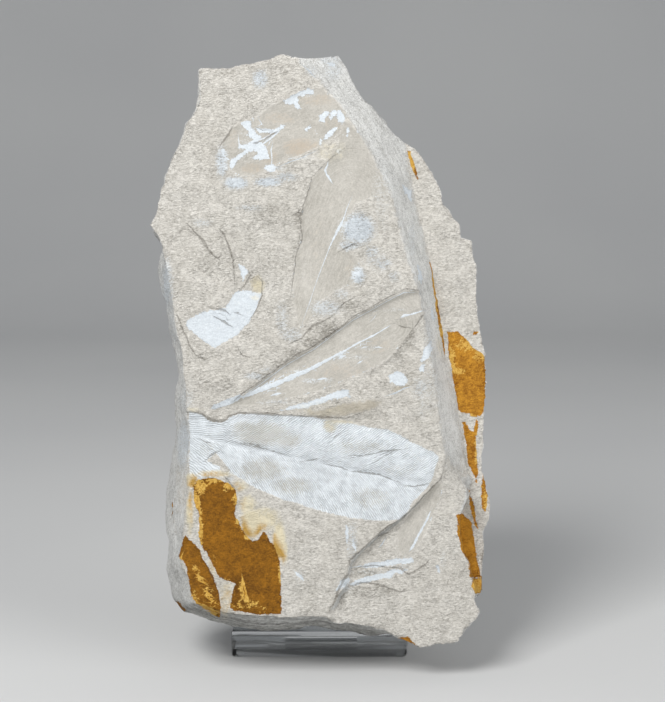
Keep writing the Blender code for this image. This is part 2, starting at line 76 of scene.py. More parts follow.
bpy.ops.object.camera_add(location=eye * MM, rotation=(math.pi / 2 - LOOKING_DOWN, 0, 0))
camera = bpy.context.object
camera.name = "camera"
camera.data.sensor_width = SENSOR
camera.data.lens = SENSOR * focal_pixels / max(PHOTO_SIZE)
camera.data.dof.use_dof = False
bpy.context.scene.camera = camera
print("lens", round(camera.data.lens, 1), "mm")


def photo_place(points):
    """Pixel column and row of points of the slab, given in millimetres."""
    from_eye = points - eye
    depth = from_eye @ sight
    column = PHOTO_SIZE[0] / 2 + focal_pixels * from_eye[:, 0] / depth
    row = PHOTO_SIZE[1] / 2 - focal_pixels * (from_eye @ picture_up) / depth
    return np.stack((column, row), axis=1)

# %% [markdown]
# ## A finer skin for the slab
#
# The solid slab is made of triangles 4 to 8 mm across, enough for its ledges and its broken
# outline. Stone has much finer relief, so every triangle is divided: those that face the visitor
# into 16, the others into 4. A sculptor would use a multiresolution brush for this. Dividing in
# edit mode gives the same mesh every time.

# %% Copy a solid
SAME_PLACE = 1e-6


def own_copy(name, node):
    """A copy of a solid in edit mode, all selected, with the triangles that meet joined."""
    piece = bpy.data.objects.new(name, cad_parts[node].data.copy())
    bpy.context.collection.objects.link(piece)
    bpy.ops.object.select_all(action="DESELECT")
    piece.select_set(True)
    bpy.context.view_layer.objects.active = piece
    bpy.ops.object.mode_set(mode="EDIT")
    bpy.ops.mesh.select_mode(type="FACE")
    bpy.ops.mesh.select_all(action="SELECT")
    bpy.ops.mesh.remove_doubles(threshold=SAME_PLACE)
    bpy.ops.mesh.customdata_custom_splitnormals_clear()
    print(name, "copied:", len(piece.data.polygons), "triangles")
    return piece


slab = own_copy("leaf_slab", "rock_slab")

# %% Divide the slab
FACING_CUTS = 3
HIDDEN_CUTS = 1
EDGE_ON = 0.12


def select_faces(piece, wanted):
    """Selects those faces of a piece in edit mode for which wanted(face) is true."""
    shape = bmesh.from_edit_mesh(piece.data)
    for face in shape.faces:
        face.select_set(wanted(face))
    shape.select_flush_mode()
    bmesh.update_edit_mesh(piece.data)


def faces_visitor(face):
    """True if a face can be seen from the camera's side."""
    return face.normal.dot(Vector(sight)) < EDGE_ON


select_faces(slab, lambda face: not faces_visitor(face))
bpy.ops.mesh.subdivide(number_cuts=HIDDEN_CUTS)
select_faces(slab, faces_visitor)
bpy.ops.mesh.subdivide(number_cuts=FACING_CUTS)
bpy.ops.mesh.select_all(action="SELECT")
bpy.ops.mesh.quads_convert_to_tris()
bpy.ops.object.mode_set(mode="OBJECT")
print("slab:", len(slab.data.polygons), "triangles")

# %% [markdown]
# ## Reading the traced outlines
#
# The leaves and stains are drawn as outlines and lines in photograph pixels, written like the
# points of a polygon in an SVG drawing. Each place has a column and a row. A thin line adds its
# width there, and a soft blot adds its half width, half height and strength.

# %% Read the traced text
def trace(text):
    """The places of one outline or line, or of a set of blots, a row of numbers for each."""
    return np.array([place.split(",") for place in text.split()], float)


def traces(text):
    """Several outlines or lines, with a semicolon between them."""
    return [trace(part) for part in text.split(";")]

# %% [markdown]
# ## The leaves
#
# Three kinds of surface show on the split face. The big leaf across the middle still has its film
# of white clay, which replaced the leaf itself. Four others are smooth beige prints in the
# siltstone, with a white rib where some film is left. Between them the stone has broken across its
# layers and is rough. The outlines are traced clockwise, and the ribs from the stalk to the tip.

# %% Outlines of the leaves
WHITE_LEAF = trace("""
189,411 202,414 210,421 223,422 230,417 239,414 250,413 280,415 306,416 319,418 337,422 351,423 360,425
376,428 389,430 400,435 412,442 427,449 439,456 438,462 435,468 433,479 427,488 419,496 412,502 410,510
400,520 376,521 351,518 332,514 313,509 300,504 281,499 256,488 246,483 240,478 231,474 222,478 206,475
196,479 190,476 189,440
""")
WHITE_LEAF_CHIP = trace("207,461 215,453 230,470 227,478 218,474 221,467")
WHITE_LEAF_RIB = trace("""
170,427 191,434 223,443.5 256,450.5 289,457 320,463 345,468.5 370,474 392,479 415,484 440,488
""")
RIBBED_PRINT = trace("""
216,407 240,396 257,384 287,362 300,354 313,347.6 332,333.5 351,319.5 380,302.6 405,290 419,291 424,309
421,319 412,330 401,345 390,357 380,364 366,371 345,380 318,391 290,398 262,403 240,406
""")
RIBBED_PRINT_RIB = trace("""
215,407,5 233,400,6 253,391.7,6 273,385,5.5 292,376.7,5 308,370,3.8 327,360,3.2 343,351.7,2.2
358,343,1.6 373,335.8,1.8 386,328,1 391,325,0
""")
LARGE_PRINT = trace("""
347,118 360,134 372,156 382,176 388,194 370,198 356,203 350,215 344,232 337,250 348,251 357,258 361,270
352,283 336,291 322,300 312,318 301,328 293,300 293,283 296,256 302,239 301,216 306,198 312,178 325,163
338,146 340,133
""")
UPPER_PRINT = trace("""
221,146 226,136 233,126 243,121 261,116 263,111 281,101 306,90 322,88 336,100 347,115 339,133 322,146
297,156 273,166 256,176 240,176 229,168 223,158
""")
LOWER_PRINT = trace("""
437,482 443,484 440,500 431,520 422,540 412,553 404,556 397,549 398,534 408,514 422,496
""")
LARGE_PRINT_RIB = trace("""
352,196,0 347,208,.9 343,220,1.2 341,224,2.6 334,238,2.2 330,246,.8 317,280,.6 309,304,.5 301,327,0
""")
# Each print, and the line down its middle.
PRINTS = [
    (RIBBED_PRINT, RIBBED_PRINT_RIB[:, :2]), (LARGE_PRINT, LARGE_PRINT_RIB[:, :2]),
    (UPPER_PRINT, trace("222,162 345,106")), (LOWER_PRINT, trace("404,556 441,484")),
]
BROWN_IN_PRINTS = trace("""
302,148,24,13,1 270,158,14,10,.7 252,168,15,7,.8 318,100,24,8,.7 280,118,24,8,.6 332,122,12,16,.5
235,138,9,14,.5 345,372,40,12,.5 376,345,24,12,.45 352,268,9,14,.4 318,250,12,50,.25
""")
print("leaf traced with", len(WHITE_LEAF), "places, and", len(PRINTS), "prints")

# %% [markdown]
# ## White clay
#
# Elsewhere the white film has flaked, and only scraps of it are left, with sharp edges. Where it
# is worn into the grain of the stone it is a fuzzy haze.

# %% Outlines of the white scraps
# The branching scrap on the upper print, and the smaller ones beside it.
WHITE_SCRAPS = traces("""
241,123 246,120 251,121 251,126 257,133 262,137 258,141 262,143 266,147 268,152 270,158 262,160 252,159
257,153 254,150 247,153 240,158 236,164 232,169 229,166 231,160 239,154 246,149 238,148 239,144 248,144
253,140 247,135 249,131 244,127;
256,128 276,129 281,125 285,124 284,128 276,132 268,133 258,132;
266,165 272,164 277,167 276,171 270,172 264,169;
282,100 292,96 300,92 308,88 313.6,90 313.6,94 304,95 298,97 298,102 301,109 296,109 294,104 286,104;
319,116 323,112 329,111 329,115 325,119 324,123 320,121;
331,111 334,109 337,111 335,116 331,120 329,118;
338,110 341,111 346,119 342,124 338,121 336,116;
323,139 326,133 331,128 337,127 336,131 330,137 325,141;
319,145 321,138 322,139 321,146;
304,129 311,124 311,127 307,131.6;
221,150 224,149 226,155 229,160 225,160 222,155;
345.6,128 350,127 347,137
""")
# The fin-shaped scrap on the left.
WHITE_SCRAPS += traces("""
185.5,321 204.5,311 225,308 229.5,301 235,292 243,290 262,293 257,308 248.5,323 234,337 215,348
204.5,342 188,328.5;
238,262.5 248.5,271 243,283
""")
# The strip beside the ribbed print.
WHITE_SCRAPS += traces("""
278,411 297,404 308,402 317,398.6 336,391.5 349,389.6 350,397 336,399 320,404 306,408 290,410
""")
# Bands at the lower right.
WHITE_SCRAPS += traces("""
351,568 370,563 395,559 413,557 414,562 395,565 370,568;
348,584 362,578 380,573 396,569 408,569 402,574 395,573 392,577 380,579 364,583 350,587;
335,592 340,582 349,577 350,581 343,588;
293,569 299,573 305,580 303,582 297,576;
346,523 349,530 348,544 347,552;
352,533 356,546 356,553 352,545
""")
# On the right, beside and on the broken flank.
WHITE_SCRAPS += traces("""
388,376 396,371 404,373 408,381 404,386 396,385 390,382;
402,184.7 411.6,191 411.6,202.6 405,193;
418,264.7 423,277 422,286 418,277;
430,307 432,307 434,319 432,320;
430.5,340 432,349 430,356 424,361 420.5,363 423,352 427,344;
419,365 424,364 424,372 419,371;
436,566 438,565.5 440,573 438,573;
327,62 336,64 334,67 328,65
""")
# Thin lines of clay on the ribs, on the edges and on the rough stone.
WHITE_LINES = [RIBBED_PRINT_RIB, LARGE_PRINT_RIB] + traces("""
405,316,1 412,314,1.6 422,311,1.2;
240,397.5,0 258,386,.9 288,364,.7 314,349.5,.7 333,335,.6 352,321,.7 381,304.5,.7 404,292.5,.8
418,292.5,0;
400,318,0 404,315.5,2.4 409,314.5,1;
370,322,0 374,318,.8 377,314,0;
338,359,0 341,357,2.8 346,355,0;
360,349,0 364,347,1.6 369,346.5,0;
374,348,0 379,347,1.6 383,348,0;
357,364,0 360,362,2.2 363,360,0;
316,380,0 322,378.5,2.4 328,378,0;
270,396,0 276,394,2.8 282,393,0;
328,159,0 327.5,165,1.6 325,170,2 327,175,2.6 331,181,2.2 333,184,0;
431,510,0 427,520,2 419,534,2.2 413,546,3 409,552,0;
301,64,0 309,71,1.4 317,80,0
""")
# The branches of the scrap on the upper print.
WHITE_LINES += traces("""
283,127,1.4 270,139,1.8 258,147,1.6 244,153,0;
238,134,0 239,142,1.2 239,149,0;
272,134,0 262,139,1.2 250,143,1 240,147,0;
273,142,0 271,150,1.2 272,160,1.4 271,168,0;
258,118,0 262,124,1.2 256,127,0;
276,168,0 290,162,1 304,157,.8 320,148,0;
384,397,0 396,393,1.6 405,388,1.2 413,386,0;
387,536,0 382,544,1.3 378,548,0
""")
HAZE = trace("""
260,79,10,12,1 268,182,17,6,1.3 236,183,15,8,1.3 222,162,8,20,1 286,177,16,6,.8 167,285,6,34,.9
339,151,4,4,.8 382,262,14,5,.6 378,262,18,8,.5 246,143,12,22,.3 430,380,8,40,.35 382,196,12,40,.3
412,240,5,26,.5 330,60,14,8,.6 184,444,8,34,.9 186,400,10,16,.5 358,229,20,19,1.4 348,246,14,6,.9
358,275,9,11,1.2 372,252,9,8,.8 384,264,9,8,.8 394,276,8,7,.6 311,71,8,8,.5 272,402,20,3,.5
326,308,20,10,.75 342,294,10,7,.55 282,318,8,22,.6 292,335,14,9,.6 254,376,14,5,.7 267,370,9,4,.55
250,208,18,4,.6 202,223,12,5,.6 230,478,6,5,.6 300,372,9,4,.8 311,381,12,3,.7 343,357,8,3,.6
372,348,12,2.5,.5 358,357,12,2.5,.5 376,260,14,14,.35 328,380,7,3,.6 420,388,10,14,.6
428,340,5,26,.5 205,478,14,5,.8 196,440,9,30,.5 167,290,9,36,.6 172,330,7,22,.5 310,95,6,4,.4
333,71,12,12,.55 352,540,7,26,.55 346,585,9,9,.6 300,577,7,10,.45 276,168,14,3,.6
300,158,14,2.5,.45 423,408,6,12,.4 443,560,4,12,.35 370,572,26,3,.4 398,566,18,3,.4
278,402,22,3,.55 395,310,16,3,.35
""")
print(len(WHITE_SCRAPS), "scraps,", len(WHITE_LINES), "lines and", len(HAZE), "blots of haze")

# %% [markdown]
# ## Iron stains
#
# Water seeping along the joints left iron oxide: rusty brown where it is thick, orange-yellow
# where it is thin, with a pale yellow halo in the stone beside it. The stains stop dead at the
# edges of the thin layers that they grew on.

# %% Outlines of the stains
RUST_STAINS = traces("""
193,486 197,480 211,477 230,483.6 236,490 237,497.6 234.6,514.8 241.8,527.7 247.6,537.7 253,541 258,540
263,531 268,537 273,544 278,554 280,560 281,588 281.5,614 256,615 233,610 230,608 231,600 234,588
223,585 217.4,576.5 211.7,565 203,549 199.5,540.6 198.8,515 194.5,503 193,492;
184.4,534 197,546 207,565 214.6,578 219,589 221,606.6 220,616 197,604 191.6,598 188.7,579 186,565
178,556 182,543.5;
176,601 180,601 186,611 176,612
""")
# On the shelf and the flank.
RUST_STAINS += traces("""
406.5,150 410,151 413.5,160 417,172 419.6,184 416,177 411,166;
447,332 458,331 464,337 472.6,347 482,353 485,358 486,410 481,416 472.6,417 464,414 458,410 456.8,401.6
452.6,378 448.4,351;
474,331 478,332 477,336 473,335;
462,422 466,421 470,430 474,432 476,420 479,421 476,440 477.5,463 478,473 476.5,489 475,478 467.5,463
466,445;
467,488 473.7,503 476,520 478,529 475,526 470,508;
483,474 488,497 485,512 481,507 481,487;
456,514 461,512.5 471.7,521.7 473.7,536.7 477.5,561.7 481,578 470,578 466.7,561.7 461.7,550 457.5,536.7;
472,578 483,578 484,594 476,594 471,586;
394,636 409,637 418,647 408,643
""")
RUST_LINES = traces("""
430,262,.8 433.5,285,1.9 438.5,319,2.8 441.5,335,2.6 445,354,.4;
173,496,0 173,505,2.4 171.5,516,0
""")
BARE_IN_STAINS = traces("""
204,556 206,552 220,578 236,584 232,592 226,598 227,612 222,613 220,596 214,578;
461,412 470,414 473,428 466,424
""")
# Yellow and orange, where the oxide is thin.
THIN_RUST = trace("""
201,487,8,10,.9 197,500,5,14,.9 201,525,4,26,.75 213,481,10,4,.8 228,487,8,6,.85 235,498,4,8,.7
240,524,5,10,.5 248,536,6,5,.5 242,590,3.5,16,.9 246,604,18,6,.75 262,608,10,4,.5 195,598,4,9,.95
209,611,12,4,.9 196,568,5,6,.7 208,590,8,6,.6 280,575,2.5,12,.6 466,345,12,8,.9 459,371,9,5,1.1
453,358,4,22,.8 478,357,8,7,.9 468,416,9,3,.9 411,162,5,16,1.1 434,290,4,30,1.1 440,335,4,20,.6
478,586,8,9,1.3 477,450,3,20,.6 485,500,4,12,.6 468,566,4,12,.35 215,557,3,5,.5 171,556,3,4,.8
""")
# Rougher stone with painted ledge shadow, under the raised band and beside the prints.
SHADOW_AND_GRIT_BLOTS = trace("""
330,331,12,9,1 314,343,13,8,1 298,354,13,7,.9 283,364,13,6,.8 266,376,13,5,.7 252,386,10,4,.5
300,220,8,12,.6 298,262,6,22,.35 330,185,34,12,.35 220,262,26,14,.3 268,216,26,14,.4
352,306,18,7,.6 408,336,9,16,.9 398,352,10,12,.6 404,372,14,12,.3 366,574,26,4,.5 372,592,34,7,.5
340,600,8,12,.6 392,531,26,7,.3 216,384,20,8,.4 330,404,30,6,.3
""")
# Thin golden streaks in the brown.
RUST_STREAKS = traces("""
193,566,0 196,568,2.4 200,571,0;
194,573,0 199,576,2.2 206,580,0;
196,579,0 202,582,2 209,586,0;
202,589,0 208,593,3 216,599,0;
204,595,0 211,600,2.6 219,605,0;
190,592,1 194,599,3.4 199,604,1;
197,603,1 208,608,3 219,612,1;
241.5,573,0 243,581,2 247,600,3.2;
200,546,0 206,556,1.4 212,570,1;
184,551,0 181,558,2 184,562,0;
198,492,0 205,487,2.4 212,482,2;
199,500,2.2 200,520,1.8 202,534,0
""")
HALO = trace("""
262,519,22,15,.8 252,524,13,16,1.4 279,541,8,24,1.15 248,505,11,12,.8 240,486,12,8,.6
192,481,8,10,.9 190,512,5,30,.8 284,552,5,16,.8 214,474,22,5,.7 258,285,9,11,.6 255,298,6,4,.4
330,426,9,8,.45 195,410,10,4,.4 226,598,9,24,.5 212,566,6,14,.5 342,422,20,3,.5 440,345,6,14,.3
330,152,22,14,.3 320,408,34,8,.25
""")
TAN_BANDS = traces("""
298,411 320,409 345,403 372,399 384,401 378,407 362,413 340,417 322,418 308,415;
322,419 338,421 332,432 327,430;
390,388 404,384 416,380 408,388 396,394;
250,278 258,274 263,282 262,294 252,292
""")
print(len(RUST_STAINS), "stains and", len(RUST_STREAKS), "streaks in them")

# %% [markdown]
# ## Cracks, creases and painted ledge shadows
#
# Dark lines follow the cracks and the creases of the leaves. Along the edges of the thin layers
# they are painted shadow, below each ledge.

# %% Lines of cracks, creases and painted ledge shadows
# Painted shadow along the upper edge of the white leaf, below the ledge above it, and the leaf's
# creases.
CRACK_AND_SHADOW_LINES = traces("""
189,412,1.2 202,413.5,1.4 210,420,1.6 223,421.5,1.8 230,416.5,1.8 239,413,2 262,414,2.2 285,415.5,1.6
319,417,1.4 345,418,.8 366,411,0;
322,463.5,0 340,467,1 350,471,.5 360,472,1.4 379,474.5,1.2 392,479.5,1 402,483,0;
197,438,0 206,442,1.2 216,444,0;
300,462,0 312,460,.9 326,457,0;
404,486,0 412,486.5,1.2 424,485,.8 430,483,0;
346,459,0 360,456.5,.8 373,454,1 382,451.4,1.3 402,449.5,.7 410,448,0;
366,466,0 377,461,.9 386,455,.9 398,450.5,0;
340,458,0 352,455,.9 364,456,.6;
236,443,0 256,447,.6 276,452,.7 292,457,0;
327,444,0 337,436,1 344,430,0;
205,461,0 212,454.5,1.5 216,452.5,.8;
223,475,0 229,482,1.6 237,490,0;
230,441,0 250,444,.8 270,446,0
""")
# Painted shadow along the edge of the ribbed print and below the ledges beside it.
CRACK_AND_SHADOW_LINES += traces("""
232,402,0 240,395,.7 257,383,.6 287,361,1 300,353,1.3 313,346.5,1.3 332,332.5,.7 351,318.5,.5
380,301.5,.5 405,289,.6 419,290,.6 424,300,0;
287,345,0 302,338,1.6 312,326,1.4 330,318,1.2 345,302,1 362,294,0;
424,309,0 421,319,.9 414,328,.6 406,338,0;
398,325,0 404,327,1.3 412,328,0
""")
# The large and the upper print: painted shadow along their edges, and a few dark lines within them.
CRACK_AND_SHADOW_LINES += traces("""
345,148,0 325,163,.5 312,178,.6 306,198,.6 301,216,1.1 302,239,.7 296,256,.6 293,283,.5 288,308,0;
291,216,0 296,214.5,1.8 300,217,2.2 301,230,1 298,242,0;
337,253,0 345,248,1.3 354,244,1.6 361,246,0;
234,125,0 230,131,1.3 227,137,1.6 222,143,1.4 219,149,0;
264,141,0 267,138,1.2 273,134,1.2 279,131,0;
252,143,0 256,143.5,1.6 261,141,0;
257,127.5,0 262,130,1 270,130,0
""")
# Cracks in the rough stone on the left, and painted shadow at the lower edge of the fin-shaped scrap.
CRACK_AND_SHADOW_LINES += traces("""
185,222,0 192,228,1.4 199,236,1.6 207,247,1.6 214,256,1.4 218,259,1 222,252,0;
218,228,0 224,234,1.2 228,243.5,1.6 232,256,1.3 234,272,1.1 235,288,0;
239,291,0 245,284,1.4 250,276,1.2 248,268,0;
206,308,0 216,308.5,1.3 226,311,1.5 230,314,0;
213,316,0 219,319,1.6 226,323,2 232,327,0;
234,312,0 238,313.5,2 243,315.5,0;
248,323,0 256,310,.8 262,296,.9 262,282,1.1 256,274,0;
176,312,0 180,322,1.4 186,336,1.2 190,347,1.4 197,356,1 206,354,0;
197,356,0 205,360,1 214,356,0;
238,349,0 243,356,1.3 250,357,0
""")
# Painted shadow below the ledges at the lower right, and a few cracks.
CRACK_AND_SHADOW_LINES += traces("""
328,612,0 333,604,2 338,592,2.2 345,578,1.8 350,568,1.8 349,561,1.6 356,555,1.2 371,540,.8 388,526,.8
398,522,.6 416,505,.9 428,492,1.2 440,480,.8 443,470,0;
346,586,0 352,585.5,1.4 362,582.5,1.2 377,584,1.6 400,592,1.2 408,590,0;
352,570,0 362,566.5,1.2 375,566,.8 400,568,.8 409,574,1.5 424,566,1.2 431,558,0;
330,606,0 338,600,1.2 346,592,0;
439,612,0 446,616,1 452,612,0;
422,388,0 428,384,1 433,384,0;
214,583,0 211,574,1.2 207,566,0
""")
print(len(CRACK_AND_SHADOW_LINES), "dark lines")

# %% [markdown]
# ## The broken flank and shelf
#
# On the right the upper beds broke away. The break is a smooth grey flank with fine lines along it,
# the edges of the thin layers.

# %% Outline of the flank
FLANK_EDGE = trace("""
296,48 300,64 320,82 346,114 360,134 372,156 382,176 392,200 401,235 407,260 417,288 423,309 425,330
432.6,368 437,404 441,435 444,450 448,460 454,466
""")
FLANK_FOOT = trace("""
460,466 462,456 461,434 457,412 451,378 445,353 436,298 430,265 422,231 412,187 406,150 404,130 372,105
352,74 345,48
""")

# %% [markdown]
# ## Where each point of the slab lies in the picture
#
# Only the split face and its ledges carry the leaves, so a point takes part by the way it faces.
# A point of the back may lie behind a leaf in the picture, and has to stay bare.

# %% Points of the slab
SLAB_LEAN = math.radians(14.0)
face_out = np.array((0.0, -math.cos(SLAB_LEAN), math.sin(SLAB_LEAN)))
face_up = np.array((0.0, math.sin(SLAB_LEAN), math.cos(SLAB_LEAN)))


def read(items, name, width, kind=float):
    """One property of all of a mesh's items, as an array with a row for each."""
    values = np.empty(len(items) * width, kind)
    items.foreach_get(name, values)
    return values.reshape(-1, width)


points = read(slab.data.vertices, "co", 3) / MM
edges = read(slab.data.edges, "vertices", 2, int)
corners = read(slab.data.polygons, "vertices", 3, int)


def pointing(places):
    """The direction that each point of the slab faces."""
    a, b, c = (places[corners[:, k]] for k in range(3))
    flat = np.repeat(np.cross(b - a, c - a), 3, axis=0)
    total = [np.bincount(corners.ravel(), weights=flat[:, k], minlength=len(places)) for k in range(3)]
    way = np.stack(total, axis=1)
    return way / np.maximum(np.linalg.norm(way, axis=1), 1e-9)[:, None]


print("points:", len(points))

# %% [markdown]
# ## Easing the facets
#
# The solid's flat triangles would show as facets. Each point moves towards the mean height of its
# neighbours, as under a sculptor's smooth brush, but a neighbour far above or below counts for
# little, so ledges stay crisp.

# %% Ease the facets
EASE_ROUNDS = 14
EASE = 0.7
LEDGE_HEIGHT = 0.22

cad_low, cad_high = points.min(axis=0), points.max(axis=0)
first, second = edges.T
for _ in range(EASE_ROUNDS):
    facing = pointing(points)
    gap = points[second] - points[first]
    moved, trusted = np.zeros(len(points)), np.zeros(len(points))
    for here, way in ((first, gap), (second, -gap)):
        rise = (facing[here] * way).sum(axis=1)
        trust = np.exp(-(rise / LEDGE_HEIGHT)**2)
        moved += np.bincount(here, trust * rise, len(points))
        trusted += np.bincount(here, trust, len(points))
    points += facing * (EASE * moved / np.maximum(trusted, 0.5))[:, None]
furthest = np.abs(points - read(slab.data.vertices, "co", 3) / MM).max()
print("moved", round(float(furthest), 2), "mm at most")
slab.data.vertices.foreach_set("co", (points * MM).ravel())
slab.data.update()

# %% [markdown]
# ## How far each point is from an outline
#
# The leaves could be painted as an image, but its sharpness would be fixed. Here each point of the
# slab instead learns how far inside or outside an outline it lies, in millimetres. The shader turns
# that distance into an edge of any sharpness, and the relief uses the same number.

# %% Distances from outlines and lines
REACH = 6.0
LINE_REACH = 3.0


def smooth(value):
    """A soft step from 0 to 1."""
    value = np.clip(value, 0.0, 1.0)
    return value * value * (3.0 - 2.0 * value)


def close_to(spots, line, reach):
    """The numbers of the spots within reach, in pixels, of the box round a line."""
    low, high = line.min(axis=0) - reach, line.max(axis=0) + reach
    return np.flatnonzero(((spots > low) & (spots < high)).all(axis=1))


def nearest(spots, line):
    """For each spot, the distance to a line, the side it is on, and how far along it is, in pixels."""
    best = np.full(len(spots), 1e9)
    side, along = np.zeros(len(spots)), np.zeros(len(spots))
    travelled = 0.0
    for start, end in zip(line[:-1], line[1:]):
        step = end - start
        length = np.hypot(*step)
        offset = spots - start
        part = np.clip(offset @ step / length**2, 0.0, 1.0)
        gap = np.hypot(*(offset - part[:, None] * step).T)
        closer = gap < best - 1e-6
        best[closer] = gap[closer]
        turn = step[0] * offset[:, 1] - step[1] * offset[:, 0]
        side[closer] = np.where(turn[closer] < 0, -1.0, 1.0)
        along[closer] = travelled + part[closer] * length
        travelled += length
    return best, side, along


def inside(spots, outline, reach=REACH):
    """How far inside an outline each spot lies, in millimetres, and less than 0 outside it."""
    depth = np.full(len(spots), -reach)
    near = close_to(spots, outline, reach / PIXEL)
    here = spots[near]
    ring = np.vstack((outline, outline[:1]))
    gap, _, _ = nearest(here, ring)
    within = np.zeros(len(near), bool)
    for (x0, y0), (x1, y1) in zip(ring[:-1], ring[1:]):
        if y0 != y1:
            crosses = (y0 > here[:, 1]) != (y1 > here[:, 1])
            within ^= crosses & (here[:, 0] < x0 + (here[:, 1] - y0) * (x1 - x0) / (y1 - y0))
    depth[near] = np.clip(np.where(within, gap, -gap) * PIXEL, -reach, reach)
    return depth


def inside_any(spots, outlines):
    """How far inside the nearest of several outlines each spot lies, in millimetres."""
    return np.max([inside(spots, outline) for outline in outlines], axis=0)


def blots(spots, places):
    """The strength of the soft blots at each spot."""
    total = np.zeros(len(spots))
    for column, row, half_wide, half_high, strength in places:
        away = np.hypot((spots[:, 0] - column) / half_wide, (spots[:, 1] - row) / half_high)
        total = np.maximum(total, strength * (1.0 - smooth((away - 0.35) / 0.85)))
    return total


def thin_lines(spots, lines):
    """Side distance and half width of the nearest thin line, in millimetres.

    A thin line falls between the points of the mesh, but its side distance passes through zero
    there, so the shader still draws it whole.
    """
    side, half = np.full(len(spots), LINE_REACH), np.zeros(len(spots))
    for line in lines:
        near = close_to(spots, line[:, :2], LINE_REACH / PIXEL)
        gap, sign, along = nearest(spots[near], line[:, :2])
        gap *= PIXEL
        places = np.concatenate(([0.0], np.cumsum(np.hypot(*np.diff(line[:, :2], axis=0).T))))
        width = np.interp(along, places, line[:, 2]) * PIXEL / 2.0
        width *= 1.0 - smooth((gap - LINE_REACH * 0.4) / (LINE_REACH * 0.4))
        closer = gap < np.abs(side[near])
        side[near[closer]] = (sign * gap)[closer]
        half[near[closer]] = width[closer]
    return side, half

# %% [markdown]
# ## More points where the drawing is fine
#
# Small scraps and thin edges need more points than plain stone. Only triangles with a corner close
# to an outline or a line are divided once more, so the slab stays light.

# %% Divide along the outlines
def from_drawing(spots):
    """How far each spot is from the nearest sharp outline or thin line, in millimetres."""
    gaps = []
    for outline in (WHITE_LEAF, WHITE_LEAF_CHIP, *WHITE_SCRAPS, *RUST_STAINS, *BARE_IN_STAINS):
        gaps.append(np.abs(inside(spots, outline)))
    for lines in (WHITE_LINES, CRACK_AND_SHADOW_LINES, RUST_LINES):
        side, half = thin_lines(spots, lines)
        gaps.append(np.where(half > 0.0, np.abs(side), REACH))
    return np.min(gaps, axis=0)


FINE_WITHIN = 0.36

points = read(slab.data.vertices, "co", 3) / MM
facing = pointing(points)
gap = from_drawing(photo_place(points)) + np.where(facing @ sight < 0.1, 0.0, REACH)
wanted = (gap[corners].min(axis=1) < FINE_WITHIN).tolist()
bpy.ops.object.mode_set(mode="EDIT")
select_faces(slab, lambda face: wanted[face.index])
bpy.ops.mesh.subdivide(number_cuts=1)
bpy.ops.mesh.select_all(action="SELECT")
bpy.ops.mesh.quads_convert_to_tris()
bpy.ops.mesh.dissolve_degenerate(threshold=SAME_PLACE)
bpy.ops.mesh.quads_convert_to_tris()
bpy.ops.object.mode_set(mode="OBJECT")
print(sum(wanted), "triangles divided, now", len(slab.data.polygons))

points = read(slab.data.vertices, "co", 3) / MM
corners = read(slab.data.polygons, "vertices", 3, int)
facing = pointing(points)
on_face = smooth((facing @ face_out - 0.35) / 0.3)
seen = smooth((0.25 - facing @ sight) / 0.25)
spots = photo_place(points)

# %% [markdown]
# ## How smooth each part is
#
# The prints and the white leaf are smooth, the flank fairly smooth, and the broken stone is rough.
# These measures, one number for each point, steer the relief and later the colours.

# %% Measures for the relief and the colours
def only_on_face(depth):
    """A depth that stays outside, whatever its outline, on the walls and the back."""
    return np.where(on_face > 0.5, depth, -REACH)


white_leaf = only_on_face(np.minimum(inside(spots, WHITE_LEAF, 14.0), -inside(spots, WHITE_LEAF_CHIP)))
# Clay and rust end where the stone turns out of sight.
in_sight = (seen - 0.45) * 8.0
white_scraps = np.minimum(inside_any(spots, WHITE_SCRAPS), in_sight)
rust = np.minimum(inside_any(spots, RUST_STAINS), in_sight)
rust = np.minimum(rust, -inside_any(spots, BARE_IN_STAINS))
tan_bands = only_on_face(inside_any(spots, TAN_BANDS))

prints = np.full(len(spots), -REACH)
print_across, print_along = np.zeros(len(spots)), np.zeros(len(spots))
for outline, axis in PRINTS:
    depth = only_on_face(inside(spots, outline))
    gap, side, along = nearest(spots, axis)
    closer = depth > prints
    prints[closer] = depth[closer]
    print_across[closer] = (gap * side * PIXEL)[closer]
    print_along[closer] = (along * PIXEL)[closer]

flank = smooth(inside(spots, np.vstack((FLANK_EDGE, FLANK_FOOT))) / 4.0 + 0.45) * seen
wall = 1.0 - smooth((np.abs(facing @ face_out) - 0.35) / 0.4)
bared = np.maximum(flank, wall)
gap, side, _ = nearest(spots, FLANK_EDGE)
across_flank = gap * side * PIXEL
depth_in_slab = points @ face_out - points[0] @ face_out
layer = np.where(flank > 0.5, across_flank, depth_in_slab)
# How much each point faces down; the underside gets painted shade from it.
under = smooth((-facing[:, 2] - 0.15) / 0.6)

calm = np.maximum.reduce([
    smooth(white_leaf / 1.5 + 0.3), smooth(prints / 2.0 + 0.4), smooth(rust) * 0.7,
    smooth(white_scraps + 0.5) * 0.85,
])
roughness = (1.0 - calm * 0.9) * (1.0 - 0.4 * flank)
for name, depth in (("white leaf", white_leaf), ("prints", prints), ("rust", rust)):
    print(name, "at", int((depth > 0).sum()), "points")

# %% [markdown]
# ## The relief
#
# Siltstone breaks in thin flakes, so its roughness has small terraces: a smooth noise is cut into
# steps, like the contours of a map, and plain noise is added. The white leaf swells on both sides
# of its sunken rib, and the prints lie a little below the stone around them.

# %% Relief of the stone
def bumps(places, size, seed):
    """Smooth noise between about -1 and 1, with bumps of that size in millimetres."""
    return np.array([noise.noise(Vector(place)) for place in places / size + seed])


